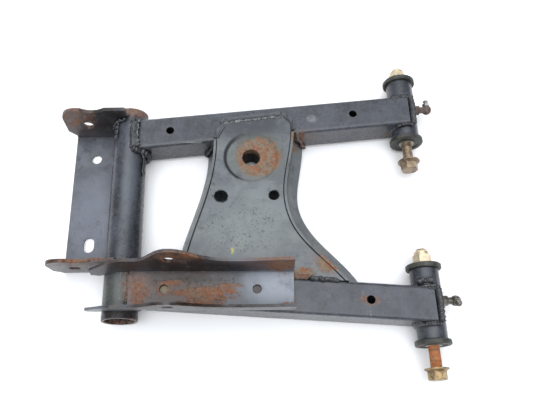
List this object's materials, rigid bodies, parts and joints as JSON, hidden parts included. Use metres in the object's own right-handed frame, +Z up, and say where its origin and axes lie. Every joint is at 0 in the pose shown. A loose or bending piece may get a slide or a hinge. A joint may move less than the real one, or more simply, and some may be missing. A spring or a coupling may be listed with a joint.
{
  "type": "spare tire carrier",
  "caption": "Welded swing frame with a wheel plate between two arms, greasable hinge barrels with pull-out bolts, a wide latch clevis and an open channel bracket.",
  "frame": {"origin": "on the hinge axis, midway between the two arms", "axes": "+Y along the hinge axis from the lower barrel to the upper barrel, -X to the cross tube, +Z up off the wheel plate"},
  "size_m": [0.4454, 0.3827, 0.0942],
  "materials": {
    "tube_steel": "worn satin black paint on steel tube",
    "plate_steel": "worn satin black paint on pressed steel plate",
    "bracket_steel": "worn satin black paint on bent steel plate",
    "bush": "dark moulded polyurethane",
    "spacer_steel": "turned steel, greasy",
    "bolt_zinc": "yellow zinc plate with rust",
    "nut_zinc": "yellow zinc plate",
    "fitting_steel": "tarnished plated steel"
  },
  "bodies": {
    "root": {"cross_tube": "tube_steel", "upper_arm": "tube_steel", "lower_arm": "tube_steel", "wheel_plate": "plate_steel", "plate_back_pressing": "plate_steel", "hub_tube": "plate_steel", "latch_bracket": "bracket_steel", "channel_bracket": "bracket_steel", "upper_sleeve": "tube_steel", "lower_sleeve": "tube_steel", "upper_near_bush": "bush", "upper_far_bush": "bush", "upper_grease_elbow": "fitting_steel", "upper_grease_nipple": "fitting_steel", "lower_near_bush": "bush", "lower_far_bush": "bush", "lower_grease_elbow": "fitting_steel", "lower_grease_nipple": "fitting_steel"},
    "upper_pivot": {"upper_spacer": "spacer_steel"},
    "upper_bolt": {"upper_pivot_bolt": "bolt_zinc"},
    "upper_nut": {"upper_nut": "nut_zinc"},
    "upper_ball": {"upper_check_ball": "spacer_steel"},
    "lower_pivot": {"lower_spacer": "spacer_steel"},
    "lower_bolt": {"lower_pivot_bolt": "bolt_zinc"},
    "lower_nut": {"lower_nut": "nut_zinc"},
    "lower_ball": {"lower_check_ball": "spacer_steel"}
  },
  "joints": [
    {"name": "upper_pivot_turn", "type": "hinge", "parent": "root", "child": "upper_pivot", "pos_m": [0, 0.1246, 0], "axis": [0, 1, 0], "continuous": true},
    {"name": "upper_bolt_push", "type": "slide", "parent": "root", "child": "upper_bolt", "axis": [0, 1, 0], "range_m": [0, 0.0222]},
    {"name": "upper_nut_turn", "type": "hinge", "parent": "upper_bolt", "child": "upper_nut", "pos_m": [0, 0.1772, 0], "axis": [0, 1, 0], "continuous": true},
    {"name": "upper_ball_lift", "type": "slide", "parent": "root", "child": "upper_ball", "axis": [0, -0.9929, -0.1191], "range_m": [0, 0.0006]},
    {"name": "lower_pivot_turn", "type": "hinge", "parent": "root", "child": "lower_pivot", "pos_m": [0, -0.1161, 0], "axis": [0, 1, 0], "continuous": true},
    {"name": "lower_bolt_push", "type": "slide", "parent": "root", "child": "lower_bolt", "axis": [0, 1, 0], "range_m": [0, 0.0222]},
    {"name": "lower_nut_turn", "type": "hinge", "parent": "lower_bolt", "child": "lower_nut", "pos_m": [0, -0.0635, 0], "axis": [0, 1, 0], "continuous": true},
    {"name": "lower_ball_lift", "type": "slide", "parent": "root", "child": "lower_ball", "axis": [0, 0.4592, -0.8884], "range_m": [0, 0.0006]}
  ]
}
